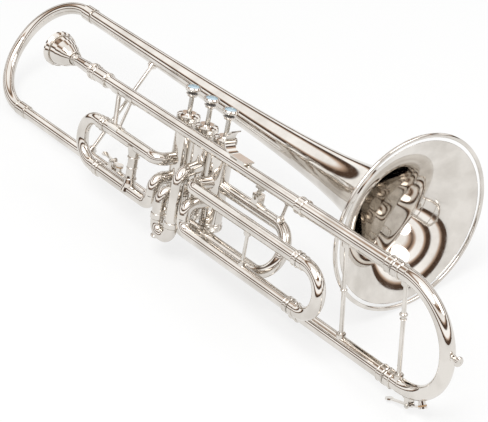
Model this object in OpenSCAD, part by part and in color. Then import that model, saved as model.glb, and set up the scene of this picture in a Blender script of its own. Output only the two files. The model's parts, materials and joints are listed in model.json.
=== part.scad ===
// Three-piston valve trombone in B flat, set down with its valves up.
// The instrument frame used below has +X along the leadpipe towards the front, +Z up along
// the pistons and +Y towards the bell. lying() turns that frame into the resting pose.

/* [Bell] */
// Outer diameter of the bell at its rim
bell_d = 190; // [170:1:200]
// Thickness of the bell's sheet
bell_wall = 0.6; // [0.4:0.1:1]
// Diameter of the rolled rim
rim_roll_d = 4.4; // [3.6:0.1:5]
// Length of the bell from its small end to its rim
bell_length = 575; // [560:1:600]
// Distance behind the mouth at which the flare's curve starts
flare_start = 17.2; // [15:0.1:20]
// Exponent of the flare's curve
flare_power = 0.7; // [0.66:0.01:0.74]
// Position of the bell's rim along the instrument
bell_rim_x = 437; // [430:1:445]
// Distance of the bell's axis beside the leadpipe
bell_y = 104; // [103:0.5:112]
// Angle by which the bell dips towards its rim
bell_dip = 1.2; // [0:0.1:2]

/* [Tubes] */
// Outer diameter of the leadpipe, return pipe and loops
tube_od = 13.2; // [12.6:0.1:13.4]
// Wall of every brass tube
tube_wall = 0.5; // [0.4:0.05:0.6]
// Outer diameter of the neck pipe and back bow
neck_od = 14; // [13:0.1:14.4]
// Outer diameter of the main tuning slide's inner legs
main_inner_od = 13.8; // [13:0.1:14.2]
// Outer diameter of the valve slides' inner legs
slide_inner_od = 12.4; // [11.6:0.1:12.6]
// Wall of the outer slide sleeves
sleeve_wall = 0.6; // [0.5:0.05:0.7]
// Running clearance of a slide leg in its sleeve, on the radius
slide_fit = 0.05; // [0.03:0.01:0.08]
// Hairline of solder between joined pieces
solder = 0.05; // [0.03:0.01:0.08]

/* [Valves] */
// Spacing of the three valves
valve_pitch = 32; // [31:0.1:33]
// Position of the first valve's axis
valve1_x = 175.3; // [172:0.1:178]
// Outer diameter of a valve casing
casing_d = 22.6; // [22:0.1:23]
// Wall of a valve casing
casing_wall = 1.1; // [0.9:0.1:1.3]
// Outer diameter of the top and bottom caps
cap_d = 24.4; // [24:0.1:25]
// Gap between the leadpipe and the caps
cap_gap = 0.9; // [0.7:0.1:1.2]
// Height of the casing's top edge
casing_top = 1; // [0:0.5:2]
// Length of a casing
casing_length = 88; // [87:0.5:90]
// Height of a top cap
top_cap_h = 8.3; // [8:0.1:9]
// Height of a bottom cap
bottom_cap_h = 8.4; // [8:0.1:9]
// Stroke of a piston
piston_stroke = 18; // [16:0.5:19]
// Length of a piston
piston_length = 62; // [58:0.5:63]
// Running clearance of a piston, on the radius
piston_fit = 0.04; // [0.03:0.01:0.06]
// Diameter of a finger button
button_d = 16.8; // [16:0.1:18]
// Diameter of the inlay in a finger button
inlay_d = 12.6; // [11:0.1:13]

/* [Slides] */
// Distance of the first valve slide outboard of the leadpipe
slide1_out = 11; // [10.5:0.1:13]
// Distance of the second and third valve slides outboard of the leadpipe
slide_out = 16.4; // [15:0.1:17]
// Height of the upper legs of the first and third slides
upper_leg_z = -41; // [-42:0.5:-40]
// Height of the first slide's lower leg
slide1_low_z = -92; // [-93:0.5:-90]
// Height of the third slide's lower leg
slide3_low_z = -89.5; // [-91:0.5:-88]
// Position of the first slide's sleeve mouths
slide1_mouth_x = 74; // [70:0.5:80]
// Position of the third slide's sleeve mouths
slide3_mouth_x = 421; // [415:0.5:425]
// Height of the second slide's sleeve mouths
slide2_mouth_z = -96; // [-98:0.5:-94]
// Spacing of the second slide's legs
slide2_legs = 24; // [23.4:0.1:25]

/* [Main tuning slide] */
// Height of the return pipe below the leadpipe
return_drop = 115.5; // [114:0.5:118]
// Distance of the return pipe inboard of the leadpipe
return_in = 20.5; // [20:0.5:22]
// Position of the fixed sleeves' rear ends
main_sleeve_x = 392; // [380:1:400]
// Position of the fixed sleeves' mouths
main_mouth_x = 528; // [520:1:535]
// Position of the tuning crook's front
crook_front_x = 604; // [598:1:615]

/* [Mouthpiece] */
// Outer diameter of the mouthpiece rim
mouth_rim_d = 39; // [37:0.5:40]
// Position of the mouthpiece rim
mouth_rim_x = -47; // [-50:0.5:-44]
// Position of the receiver's mouth
receiver_x = 26; // [24:0.5:30]
// Bore of the receiver
receiver_bore = 10.6; // [10:0.1:11]

/* [Fittings] */
// Position of the hand grip
hand_grip_x = 134.5; // [125:0.5:140]
// Diameter of a pull knob
knob_d = 10; // [8:0.5:12]
// Height of the crook's knob above the crook's middle
crook_knob_up = 6; // [0:0.5:15]
// Position of the lyre socket
lyre_x = 304; // [296:0.5:315]
// Bore of the lyre socket
lyre_bore = 3.6; // [3:0.1:4.2]
// Position of the neck pipe's water key
neck_key_x = 48; // [40:0.5:70]
// Width of a water key's lever
key_w = 5; // [4:0.1:6]
// Thickness of a water key's lever
key_thick = 1.4; // [1:0.1:1.8]
// Height of a key's pin above its tube
key_pivot_h = 6.8; // [6:0.1:7.5]
// Clearance of a pin or screw in its hole, on the radius
key_fit = 0.05; // [0.03:0.01:0.08]

/* [Hidden] */
$fn = 48;

// Resting pose: roll about the leadpipe, then the tilt that the bell's rim gives it
lie_roll = 17;
lie_pitch = 1.15;

// Cross-section places of the long tubes, as [y, z]
return_at = [return_in, -return_drop];
neck_at = [return_in + 8, -return_drop + 3];
loop_low_at = [-1, -90.5];
loop_high_at = [return_in, -43.6];

// Tube sizes
bore = tube_od - 2 * tube_wall;
main_sleeve_bore = main_inner_od + 2 * slide_fit;
main_sleeve_od = main_sleeve_bore + 2 * sleeve_wall;
slide_sleeve_bore = slide_inner_od + 2 * slide_fit;
slide_sleeve_od = slide_sleeve_bore + 2 * sleeve_wall;
slide_bow_od = slide_inner_od + 2 * solder + 2 * tube_wall;
crook_od = main_inner_od + 2 * solder + 2 * tube_wall;
ring_wall = 1;
// Straight that a U bend keeps between its two quarter turns, halved
bend_ease = 1;
// How much a bead stands over an oblique bend's tube, on the diameter
bead = 0.16;

// Valves
valve_y = tube_od / 2 + cap_gap + cap_d / 2;
casing_bottom = casing_top - casing_length;
cap_top_z = casing_top + top_cap_h;
cap_roof = 2.2;
stem_d = 5;
felt_h = 3;
button_h = 7.4;
button_z = cap_top_z + felt_h + piston_stroke;
piston_d = casing_d - 2 * casing_wall - 2 * piston_fit;
piston_top = casing_top - 7;
cap_floor = 1.2;
spring_wire = 0.8;
spring_r = 5;
spring_seat_z = casing_bottom - bottom_cap_h + cap_floor;
function valve_x(i) = valve1_x + (i - 1) * valve_pitch;

// Ports, as heights on the casings
neck_port_z = -72;
link_port_z = -52;
low_port_z = -62;
slide2_high_z = -36;
slide2_low_z = -66;
slide2_mid_x = valve_x(2) + 2;

// Bends
elbow_r = 11;
slide2_bow_r = slide2_legs / 2;
slide1_bow_r = (upper_leg_z - slide1_low_z) / 2;
slide3_bow_r = (upper_leg_z - slide3_low_z) / 2;
crook_r = norm(return_at) / 2;
rear_bend_x = 204;
loop_front_x = 364;
return_rear_r = norm(return_at - loop_low_at) / 2;
loop_r = norm(loop_high_at - loop_low_at) / 2;

// Main tuning slide
crook_gap = 1;
main_leg_rear_x = 440;

// Water keys: a nipple, a pad over it and a lever on a pin between two lugs
nipple_d = 7;
nipple_h = 4;
drain_d = 3;
pad_h = 1.8;
pad_gap = 0.1;
key_lug = 1.2;
key_side = 0.2;
key_pin_d = 2;
front_key_angle = 13.5;
front_nipple_angle = 28;
neck_nipple_dx = 13;

// Lyre socket, as heights above its tube's axis
lyre_top = 17;
lyre_bore_z = 12.5;
lyre_screw_d = 2.6;

// Bell
bell_r = bell_d / 2;
bell_tail_x = bell_rim_x - bell_length;
bell_rim = [bell_rim_x, bell_y - 0.6, -11];
bell_axis = [cos(bell_dip), 0, -sin(bell_dip)];
bell_tail = bell_rim - bell_length * bell_axis;
function horn_r(x) = bell_r * pow(flare_start / (x + flare_start), flare_power);
function horn_slope(x) = flare_power * horn_r(x) / (x + flare_start);
function on_bell(x) = bell_rim - (bell_rim_x - x) * bell_axis;
bell_small_r = horn_r(bell_length);

// Back bow, a half turn between the bell's small end and the neck pipe
bow_tail_x = bell_tail_x;
bow_chord = norm([neck_at[0] - bell_tail[1], neck_at[1] - bell_tail[2]]);
bow_r = bow_chord / 2 - bend_ease;
// Straight stretch at each end of the bow, under its ferrule
bow_straight = 8;
bow_rear_x = bow_tail_x - bow_straight - bow_chord / 2;

// ---- helpers ----

function unit(v) = v / norm(v);
function at(x, yz) = [x, yz[0], yz[1]];

// Lays the instrument down, with the receiver's mouth as the origin
module lying() {
    rotate([0, -lie_pitch, 0]) rotate([-lie_roll, 0, 0])
        translate([-receiver_x, 0, 0]) children();
}

// Turns +Z of its children to point from a to b
module aim(a, b) {
    d = b - a;
    translate(a) rotate([0, acos(d[2] / norm(d)), atan2(d[1], d[0])]) children();
}

module bar(a, b, d) {
    if (norm(b - a) > 0.01) aim(a, b) cylinder(d = d, h = norm(b - a));
}

// A round bend of radius r at corner p, from direction u into direction v
module bend_at(p, u, v, r, d) {
    turn = acos(u * v);
    inward = unit(v - (u * v) * u);
    centre = p - u * r * tan(turn / 2) + inward * r;
    w = cross(-inward, u);
    multmatrix([
        [-inward[0], u[0], w[0], centre[0]],
        [-inward[1], u[1], w[1], centre[1]],
        [-inward[2], u[2], w[2], centre[2]],
        [0, 0, 0, 1]
    ]) rotate_extrude(angle = turn) translate([r, 0]) circle(d = d);
}

// A solid round path through points, with bends of radius r and a slight bead at each bend's ends
module path(points, r, d, bead = 0) {
    n = len(points);
    dirs = [for (i = [0:n - 2]) unit(points[i + 1] - points[i])];
    trims = [for (i = [0:n - 1])
        (i == 0 || i == n - 1) ? 0 : r * tan(acos(dirs[i - 1] * dirs[i]) / 2)];
    for (i = [0:n - 2])
        bar(points[i] + dirs[i] * trims[i], points[i + 1] - dirs[i] * trims[i + 1], d);
    for (i = [1:1:n - 2]) {
        bend_at(points[i], dirs[i - 1], dirs[i], r, d);
        if (bead > 0) for (end = [points[i] - dirs[i - 1] * trims[i], points[i] + dirs[i] * trims[i]])
            translate(end) sphere(d = d + bead);
    }
}

// The same path as a tube open at both ends
module tube(points, r, od, wall, bead = 0) {
    n = len(points);
    start = points[0] - unit(points[1] - points[0]);
    finish = points[n - 1] + unit(points[n - 1] - points[n - 2]);
    inner = [for (i = [0:n - 1]) i == 0 ? start : i == n - 1 ? finish : points[i]];
    difference() {
        path(points, r, od, bead);
        path(inner, r, od - 2 * wall, bead);
    }
}

// A ring of rectangular section with softened outer edges, from a towards b
module ring(a, b, bore_d, od) {
    h = norm(b - a);
    ease = min(0.5, (od - bore_d) / 4);
    aim(a, b) rotate_extrude() polygon([
        [bore_d / 2, 0], [od / 2 - ease, 0], [od / 2, ease], [od / 2, h - ease],
        [od / 2 - ease, h], [bore_d / 2, h]
    ]);
}

// A stay turned in one piece from a to b: a rod of diameter d, two collars and two round feet.
// The children are cut away.
module stay(a, b, d = 4.4, foot = 9.5, reach_a = 8, reach_b = 8) {
    h = norm(b - a);
    collar = 1.5;
    r = d / 2;
    difference() {
        aim(a, b) rotate_extrude() polygon([
            [0, 0], [foot / 2, 0], [foot / 2, reach_a], [r + collar, reach_a],
            [r + collar, reach_a + collar], [r, reach_a + collar + 0.6],
            [r, h - reach_b - collar - 0.6], [r + collar, h - reach_b - collar],
            [r + collar, h - reach_b], [foot / 2, h - reach_b], [foot / 2, h], [0, h]
        ]);
        children();
    }
}

// Clearance solids of the long tubes
module clear_x(x0, x1, yz, od) {
    bar(at(x0, yz), at(x1, yz), od + 2 * solder);
}

// Places its children upright at valve i
module at_valve(i) {
    translate([valve_x(i), valve_y, 0]) children();
}

module casing_clear(i) {
    at_valve(i) translate([0, 0, casing_bottom - 20])
        cylinder(d = casing_d + 2 * solder, h = casing_length + 40, $fn = 72);
}

// ---- bell section ----

module bell_outline() {
    steps = [1, 2, 4, 6, 9, 13, 18, 25, 34, 46, 62, 84, 114, 154, 208, 280, 370, 470, bell_length];
    polygon(concat(
        [for (x = steps) [horn_r(x), bell_length - x]],
        [for (i = [len(steps) - 1:-1:0]) let (x = steps[i], m = horn_slope(x), k = norm([1, m]))
            [horn_r(x) - bell_wall / k, min(bell_length - x + bell_wall * m / k, bell_length)]]
    ));
}

module bell() {
    roll_at = [bell_r - rim_roll_d / 2, bell_length - rim_roll_d / 2];
    roll_fold = (rim_roll_d - bell_wall) / 2 + 0.25;
    color("silver") aim(bell_tail, bell_rim) rotate_extrude($fn = 96) difference() {
        union() {
            bell_outline();
            translate(roll_at) circle(d = rim_roll_d, $fn = 32);
            translate(roll_at) rotate(137) translate([roll_fold, 0]) circle(d = 1, $fn = 16);
        }
        translate(roll_at) circle(d = rim_roll_d - 2 * bell_wall, $fn = 32);
        // the seam where the rolled edge meets the back of the flare
        translate(roll_at) rotate(195) translate([rim_roll_d / 2 - 1.5 * bell_wall, 0])
            square([2 * bell_wall, 0.2]);
    }
}

module rim_wire() {
    color("silver") aim(bell_tail, bell_rim) rotate_extrude($fn = 96)
        translate([bell_r - rim_roll_d / 2, bell_length - rim_roll_d / 2])
            circle(d = rim_roll_d - 2 * bell_wall - 2 * solder, $fn = 32);
}

bow_path = [at(bow_tail_x, neck_at), at(bow_rear_x, neck_at),
    on_bell(bow_rear_x), on_bell(bow_tail_x)];

module back_bow() {
    color("silver") tube(bow_path, bow_r, neck_od, tube_wall, bead);
}

// Rings that cover the two joints of the back bow
module bow_ferrules() {
    ferrule = 16;
    color("silver") {
        ring(at(bow_tail_x - ferrule / 2, neck_at), at(bow_tail_x + ferrule / 2, neck_at),
            neck_od + 2 * solder, neck_od + 2 * ring_wall);
        difference() {
            ring(on_bell(bow_tail_x - ferrule / 2), on_bell(bow_tail_x + ferrule / 2),
                neck_od + 2 * solder, 2 * bell_small_r + 2 * ring_wall);
            aim(bell_tail, bell_rim) cylinder(r1 = bell_small_r + solder,
                r2 = horn_r(bell_length - ferrule) + solder, h = ferrule);
        }
    }
}

// From the back bow forward, then up into the first casing
neck_path = [at(bow_tail_x, neck_at), [valve_x(1) - 50, neck_at[0], neck_at[1]],
    [valve_x(1) - 26, valve_y, neck_port_z], [valve_x(1), valve_y, neck_port_z]];
neck_pipe_od = neck_od - 0.6;

module neck_pipe() {
    color("silver") difference() {
        tube(neck_path, 20, neck_pipe_od, tube_wall, bead);
        casing_clear(1);
        neck_key_place() drain_hole(neck_pipe_od / 2);
    }
}

module bell_brace() {
    brace_x = 0;
    a = at(brace_x, neck_at);
    b = on_bell(brace_x);
    r = horn_r(bell_rim_x - brace_x);
    color("silver") stay(a, b, 4.6, 11, 10, 12) {
        clear_x(brace_x - 20, brace_x + 20, neck_at, neck_pipe_od);
        bar(on_bell(brace_x - 20), on_bell(brace_x + 20), 2 * r + 0.5);
    }
}

// ---- leadpipe, return and inner loop ----

module leadpipe() {
    color("silver") tube([[receiver_x + 22, 0, 0], [main_sleeve_x, 0, 0]], 1, tube_od, tube_wall);
}

module receiver() {
    h = 32;
    color("silver") difference() {
        union() {
            ring([receiver_x, 0, 0], [receiver_x + 4, 0, 0], receiver_bore, tube_od + 4);
            bar([receiver_x + 3.9, 0, 0], [receiver_x + h, 0, 0], tube_od + 2.4);
        }
        bar([receiver_x - 1, 0, 0], [receiver_x + 22, 0, 0], receiver_bore);
        bar([receiver_x + 22, 0, 0], [receiver_x + h + 1, 0, 0], tube_od + 2 * solder);
    }
}

module main_sleeve(yz) {
    color("silver") {
        difference() {
            union() {
                bar(at(main_sleeve_x, yz), at(main_mouth_x, yz), main_sleeve_od);
                ring(at(main_sleeve_x - 5, yz), at(main_sleeve_x + 6, yz),
                    tube_od + 2 * solder, main_sleeve_od + 2 * ring_wall);
                ring(at(main_mouth_x - 9, yz), at(main_mouth_x, yz),
                    main_sleeve_bore, main_sleeve_od + 2 * ring_wall);
            }
            bar(at(main_sleeve_x, yz), at(main_mouth_x + 1, yz), main_sleeve_bore);
        }
    }
}

module upper_main_sleeve() { main_sleeve([0, 0]); }
module lower_main_sleeve() { main_sleeve(return_at); }

// Back along the bottom, round the rear bend and forward under the casings
return_path = [at(main_sleeve_x, return_at), at(rear_bend_x - return_rear_r, return_at),
    at(rear_bend_x - return_rear_r, loop_low_at), at(rear_bend_x + 12, loop_low_at)];

module return_pipe() {
    color("silver") tube(return_path, return_rear_r - bend_ease, tube_od, tube_wall, bead);
}

loop_path = [at(rear_bend_x + 12, loop_low_at), at(loop_front_x, loop_low_at),
    at(loop_front_x, loop_high_at), at(valve_x(3), loop_high_at)];

module inner_loop() {
    color("silver") {
        difference() {
            tube(loop_path, loop_r - bend_ease, tube_od, tube_wall, bead);
            casing_clear(3);
        }
        ring(at(rear_bend_x + 4, loop_low_at), at(rear_bend_x + 20, loop_low_at),
            tube_od + 2 * solder, tube_od + 1.4);
    }
}

// The stay between the two main sleeves, and the one from the leadpipe to the loop's upper leg
module fixed_stays() {
    brace_x = 458.5;
    low_x = 341;
    high_x = 372;
    color("silver") {
        stay(at(brace_x, [0, 0]), at(brace_x, return_at), 4.4, 9.5, 10, 10) {
            clear_x(brace_x - 20, brace_x + 20, [0, 0], main_sleeve_od);
            clear_x(brace_x - 20, brace_x + 20, return_at, main_sleeve_od);
        }
        stay([high_x, 0, 0], at(low_x, loop_high_at), 3.6, 8, 9, 10) {
            clear_x(low_x - 40, high_x + 18, [0, 0], tube_od);
            clear_x(low_x - 40, high_x + 18, loop_high_at, tube_od);
        }
    }
}

// ---- valves ----

// Round ports in casing i, drilled from its axis
module port(i, toward, z, d) {
    at_valve(i) translate([0, 0, z]) rotate([0, 90, toward]) cylinder(d = d, h = casing_d);
}

module neck_hole() { port(1, 180, neck_port_z, neck_pipe_od - 2 * tube_wall); }

module casing(i) {
    color("silver") difference() {
        at_valve(i) translate([0, 0, casing_bottom])
            cylinder(d = casing_d, h = casing_length, $fn = 72);
        at_valve(i) translate([0, 0, casing_bottom - 1])
            cylinder(d = casing_d - 2 * casing_wall, h = casing_length + 2, $fn = 72);
        if (i == 1) neck_hole();
        if (i == 3) port(3, 0, loop_high_at[1], bore);
        if (i > 1) port(i, 180, link_port_z, bore - 2);
        if (i < 3) port(i, 0, link_port_z, bore - 2);
    }
}

module casing_1() { casing(1); }
module casing_2() { casing(2); }
module casing_3() { casing(3); }

// Short tubes between neighbouring casings
module casing_links() {
    color("silver") for (i = [1:2]) difference() {
        tube([[valve_x(i), valve_y, link_port_z], [valve_x(i + 1), valve_y, link_port_z]],
            1, tube_od, 1);
        casing_clear(i);
        casing_clear(i + 1);
    }
}

module top_cap(i) {
    lip = 2.6;
    color("silver") at_valve(i) translate([0, 0, casing_top]) difference() {
        rotate_extrude($fn = 72) polygon([
            [0, 0], [cap_d / 2 - 0.6, 0], [cap_d / 2, 0.6], [cap_d / 2, top_cap_h - lip],
            [cap_d / 2 - 1.4, top_cap_h - lip + 1], [stem_d / 2 + 5, top_cap_h - 0.8],
            [stem_d / 2 + 4.4, top_cap_h], [0, top_cap_h]
        ]);
        translate([0, 0, -1]) cylinder(d = casing_d - 2 * casing_wall, h = top_cap_h - cap_roof + 1);
        cylinder(d = stem_d + 0.8, h = top_cap_h + 1);
    }
}

module top_cap_1() { top_cap(1); }
module top_cap_2() { top_cap(2); }
module top_cap_3() { top_cap(3); }

module bottom_cap(i) {
    color("silver") at_valve(i) translate([0, 0, casing_bottom - bottom_cap_h]) difference() {
        rotate_extrude($fn = 72) polygon([
            [0, 0], [cap_d / 2 - 3, 0], [cap_d / 2 - 1, 1.4], [cap_d / 2, 3],
            [cap_d / 2, bottom_cap_h - 0.6], [cap_d / 2 - 0.6, bottom_cap_h], [0, bottom_cap_h]
        ]);
        translate([0, 0, cap_floor])
            cylinder(d = casing_d - 2 * casing_wall, h = bottom_cap_h);
        translate([0, 0, -1]) cylinder(d = 4, h = cap_floor + 2);
    }
}

module bottom_cap_1() { bottom_cap(1); }
module bottom_cap_2() { bottom_cap(2); }
module bottom_cap_3() { bottom_cap(3); }

// A hollow piston with three through passages and its stem
module piston(i) {
    color("lightgray") at_valve(i) difference() {
        union() {
            translate([0, 0, piston_top - piston_length])
                cylinder(d = piston_d, h = piston_length, $fn = 72);
            translate([0, 0, piston_top - 0.1])
                cylinder(d = stem_d, h = button_z - piston_top + 0.1);
        }
        for (k = [[-13, 0], [-31, 60], [-49, 120]])
            translate([0, 0, piston_top + k[0]]) rotate([0, 90, k[1]])
                cylinder(d = bore - 1.4, h = casing_d, center = true);
        translate([0, 0, piston_top - piston_length - 1])
            cylinder(d = piston_d - 2, h = 4);
    }
}

module piston_1() { piston(1); }
module piston_2() { piston(2); }
module piston_3() { piston(3); }

module button(i) {
    dish = 1.4;
    color("silver") at_valve(i) translate([0, 0, button_z]) difference() {
        rotate_extrude($fn = 64) polygon([
            [0, 0], [stem_d / 2 + 1, 0], [stem_d / 2 + 1.6, 1.2], [button_d / 2 - 2, 2.6],
            [button_d / 2 - 0.4, 3.8], [button_d / 2, 4.8], [button_d / 2, button_h - 1],
            [button_d / 2 - 0.8, button_h], [0, button_h]
        ]);
        translate([0, 0, button_h - dish]) cylinder(d = inlay_d + 2 * solder, h = dish + 1);
    }
}

module button_1() { button(1); }
module button_2() { button(2); }
module button_3() { button(3); }

module inlay(i) {
    dish = 1.4;
    color("lightblue") at_valve(i) translate([0, 0, button_z + button_h - dish])
        cylinder(d = inlay_d, h = dish - 0.3);
}

module inlay_1() { inlay(1); }
module inlay_2() { inlay(2); }
module inlay_3() { inlay(3); }

// The felt under a button, round its stem
module felt(i) {
    color("dimgray") at_valve(i) translate([0, 0, button_z - felt_h]) difference() {
        cylinder(d = stem_d + 5, h = felt_h);
        translate([0, 0, -1]) cylinder(d = stem_d + 2 * solder, h = felt_h + 2);
    }
}

module felt_1() { felt(1); }
module felt_2() { felt(2); }
module felt_3() { felt(3); }

// The piston's return spring, drawn as closed rings on the coil's pitch
module spring(i) {
    turns = 7;
    top = piston_top - piston_length + 3;
    pitch = (top - spring_seat_z - spring_wire) / (turns - 1);
    color("gray") at_valve(i) for (k = [0:turns - 1])
        translate([0, 0, spring_seat_z + spring_wire / 2 + k * pitch])
            rotate_extrude() translate([spring_r, 0]) circle(d = spring_wire, $fn = 16);
}

module spring_1() { spring(1); }
module spring_2() { spring(2); }
module spring_3() { spring(3); }

// ---- valve slides ----

// An outer sleeve: from casing i at port_z out to the slide's plane and along to its mouth
module slide_pipe(i, points, mouth_a, mouth_b) {
    color("silver") {
        difference() {
            union() {
                path(points, elbow_r, slide_sleeve_od, bead);
                ring(mouth_a, mouth_b, slide_sleeve_bore - 0.2, slide_sleeve_od + 2 * ring_wall);
            }
            casing_clear(i);
            path_bore(points);
        }
    }
}

module path_bore(points) {
    n = len(points);
    finish = points[n - 1] + unit(points[n - 1] - points[n - 2]);
    path([for (i = [0:n - 1]) i == n - 1 ? finish : points[i]], elbow_r, slide_sleeve_bore, bead);
}

module long_slide_pipes(i, out, low_z, mouth_x) {
    dir = mouth_x > valve_x(i) ? 1 : -1;
    upper = [[valve_x(i), valve_y, upper_leg_z], [valve_x(i), -out, upper_leg_z],
        [mouth_x, -out, upper_leg_z]];
    lower = [[valve_x(i), valve_y, low_port_z], [valve_x(i), -out, low_port_z],
        [valve_x(i), -out, low_z], [mouth_x, -out, low_z]];
    slide_pipe(i, upper, [mouth_x - dir * 7, -out, upper_leg_z], [mouth_x, -out, upper_leg_z]);
    slide_pipe(i, lower, [mouth_x - dir * 7, -out, low_z], [mouth_x, -out, low_z]);
}

// Two inner legs that run in the sleeves
module long_slide_legs(out, low_z, mouth_x, dir, insert, stub) {
    color("lightgray") for (z = [upper_leg_z, low_z])
        tube([[mouth_x - dir * insert, -out, z], [mouth_x + dir * stub, -out, z]],
            1, slide_inner_od, tube_wall);
}

module long_slide_bow(out, low_z, mouth_x, dir, r) {
    start = mouth_x + dir * 1;
    end = start + dir * (8 + r);
    a = [start, -out, upper_leg_z];
    b = [start, -out, low_z];
    color("silver") {
        tube([a, [end, -out, upper_leg_z], [end, -out, low_z], b], r - bend_ease, slide_bow_od, tube_wall);
        for (p = [a, b])
            ring(p, p + [dir * 6, 0, 0], slide_bow_od - tube_wall, slide_bow_od + 1.6);
    }
}

module slide_1_pipes() {
    long_slide_pipes(1, slide1_out, slide1_low_z, slide1_mouth_x);
}
module slide_1_legs() {
    long_slide_legs(slide1_out, slide1_low_z, slide1_mouth_x, -1, 60, 8);
}
module slide_1_bow() {
    long_slide_bow(slide1_out, slide1_low_z, slide1_mouth_x, -1, slide1_bow_r);
}

module slide_3_pipes() {
    long_slide_pipes(3, slide_out, slide3_low_z, slide3_mouth_x);
    stay_x = 340;
    a = [stay_x, -slide_out, upper_leg_z];
    b = [stay_x, -slide_out, slide3_low_z];
    color("silver") stay(a, b, 3.6, 8, 9, 9) {
        clear_x(stay_x - 20, stay_x + 20, [-slide_out, upper_leg_z], slide_sleeve_od - 2 * solder);
        clear_x(stay_x - 20, stay_x + 20, [-slide_out, slide3_low_z], slide_sleeve_od - 2 * solder);
    }
}
module slide_3_legs() {
    long_slide_legs(slide_out, slide3_low_z, slide3_mouth_x, 1, 120, 8);
}
module slide_3_bow() {
    long_slide_bow(slide_out, slide3_low_z, slide3_mouth_x, 1, slide3_bow_r);
}

module slide_2_pipes() {
    for (k = [[-1, slide2_low_z], [1, slide2_high_z]]) {
        x = slide2_mid_x + k[0] * slide2_legs / 2;
        points = [[valve_x(2) + k[0] * 2, valve_y, k[1]], [x, -slide_out, k[1]],
            [x, -slide_out, slide2_mouth_z]];
        slide_pipe(2, points, [x, -slide_out, slide2_mouth_z + 6], [x, -slide_out, slide2_mouth_z]);
    }
}
module slide_2_legs() {
    color("lightgray") for (k = [-1, 1]) {
        x = slide2_mid_x + k * slide2_legs / 2;
        tube([[x, -slide_out, slide2_mouth_z + 16], [x, -slide_out, slide2_mouth_z - 4]],
            1, slide_inner_od, tube_wall);
    }
}
module slide_2_bow() {
    top = slide2_mouth_z - 0.6;
    low = top - 1 - slide2_bow_r;
    xa = slide2_mid_x - slide2_legs / 2;
    xb = slide2_mid_x + slide2_legs / 2;
    knob_root = [xa + 1, -slide_out, low + 2];
    color("silver") {
        difference() {
            union() {
                path([[xa, -slide_out, top], [xa, -slide_out, low], [xb, -slide_out, low],
                    [xb, -slide_out, top]], slide2_bow_r - bend_ease, slide_bow_od);
                pull_knob(knob_root, [0, 0, -1]);
            }
            path([[xa, -slide_out, top + 1], [xa, -slide_out, low], [xb, -slide_out, low],
                [xb, -slide_out, top + 1]], slide2_bow_r - bend_ease, slide_bow_od - 2 * tube_wall);
        }
    }
}

// A turned pull knob that stands on a tube at root and points along dir
module pull_knob(root, dir) {
    aim(root, root + dir) rotate_extrude() polygon([
        [0, 0], [3.6, 0], [3.6, 1.2], [2.3, 2.2], [2.3, 4.6], [knob_d / 2 - 0.6, 6.4],
        [knob_d / 2, 7.2], [knob_d / 2, 8.4], [knob_d / 2 - 1, 9.6], [0, 10.4]
    ]);
}

// ---- main tuning slide ----

crook_rear_x = main_mouth_x + crook_gap;
crook_path = [at(crook_rear_x, [0, 0]), at(crook_front_x, [0, 0]),
    at(crook_front_x, return_at), at(crook_rear_x, return_at)];

module tuning_legs() {
    color("lightgray") for (yz = [[0, 0], return_at])
        tube([at(main_leg_rear_x, yz), at(crook_rear_x + 10, yz)], 1, main_inner_od, tube_wall);
}

module tuning_crook() {
    knob_z = -return_drop / 2 + crook_knob_up;
    knob_y = return_in / 2 - 1;
    inner = [at(crook_rear_x - 1, [0, 0]), crook_path[1], crook_path[2], at(crook_rear_x - 1, return_at)];
    color("silver") difference() {
        union() {
            path(crook_path, crook_r - bend_ease, crook_od, bead);
            for (yz = [[0, 0], return_at])
                ring(at(crook_rear_x, yz), at(crook_rear_x + 9, yz), crook_od - tube_wall, crook_od + 2.2);
            pull_knob([crook_front_x + crook_od / 2 - 1, knob_y, knob_z], [1, 0, 0]);
        }
        path(inner, crook_r - bend_ease, crook_od - 2 * tube_wall, bead);
        front_key_at(front_nipple_angle) drain_hole(crook_od / 2);
    }
}

module tuning_brace() {
    brace_x = 543;
    color("silver") stay(at(brace_x, [0, 0]), at(brace_x, return_at), 4.4, 9.5, 10, 10) {
        clear_x(brace_x - 20, brace_x + 20, [0, 0], crook_od);
        clear_x(brace_x - 20, brace_x + 20, return_at, crook_od);
    }
}

// ---- grips, stays and small fittings ----

// A waisted post between the first slide's sleeves, held in the left hand
module hand_grip() {
    half = (upper_leg_z - slide1_low_z) / 2;
    waist = 5.4;
    flare = 3.2;
    steps = 12;
    color("silver") difference() {
        translate([hand_grip_x, -slide1_out, (upper_leg_z + slide1_low_z) / 2]) rotate_extrude()
            polygon(concat([[0, half], [0, -half]],
                [for (k = [0:steps]) let (t = 2 * k / steps - 1)
                    [waist + flare * pow(abs(t), 3), t * half]]));
        clear_x(hand_grip_x - 20, hand_grip_x + 20, [-slide1_out, upper_leg_z], slide_sleeve_od);
        clear_x(hand_grip_x - 20, hand_grip_x + 20, [-slide1_out, slide1_low_z], slide_sleeve_od);
    }
}

// Two rods from the leadpipe that meet on the first slide's upper sleeve
module slide_1_stays() {
    foot_x = 97;
    low = [-slide1_out, upper_leg_z];
    color("silver") difference() {
        union() {
            bar([78, 0, 0], at(foot_x - 3, low), 5.4);
            bar([104, 0, 0], at(foot_x + 3, low), 3.2);
            for (x = [78, 104]) intersection() {
                bar([x - 6, 0, 0], [x + 6, 0, 0], tube_od + 2.4);
                translate([x - 6, -7, -12]) cube([12, 12, 12]);
            }
            intersection() {
                bar(at(foot_x - 8, low), at(foot_x + 8, low), slide_sleeve_od + 2.4);
                translate([foot_x - 8, -slide1_out - 6, upper_leg_z]) cube([16, 12, 12]);
            }
        }
        clear_x(60, 130, [0, 0], tube_od);
        clear_x(60, 130, low, slide_sleeve_od);
    }
}

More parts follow.
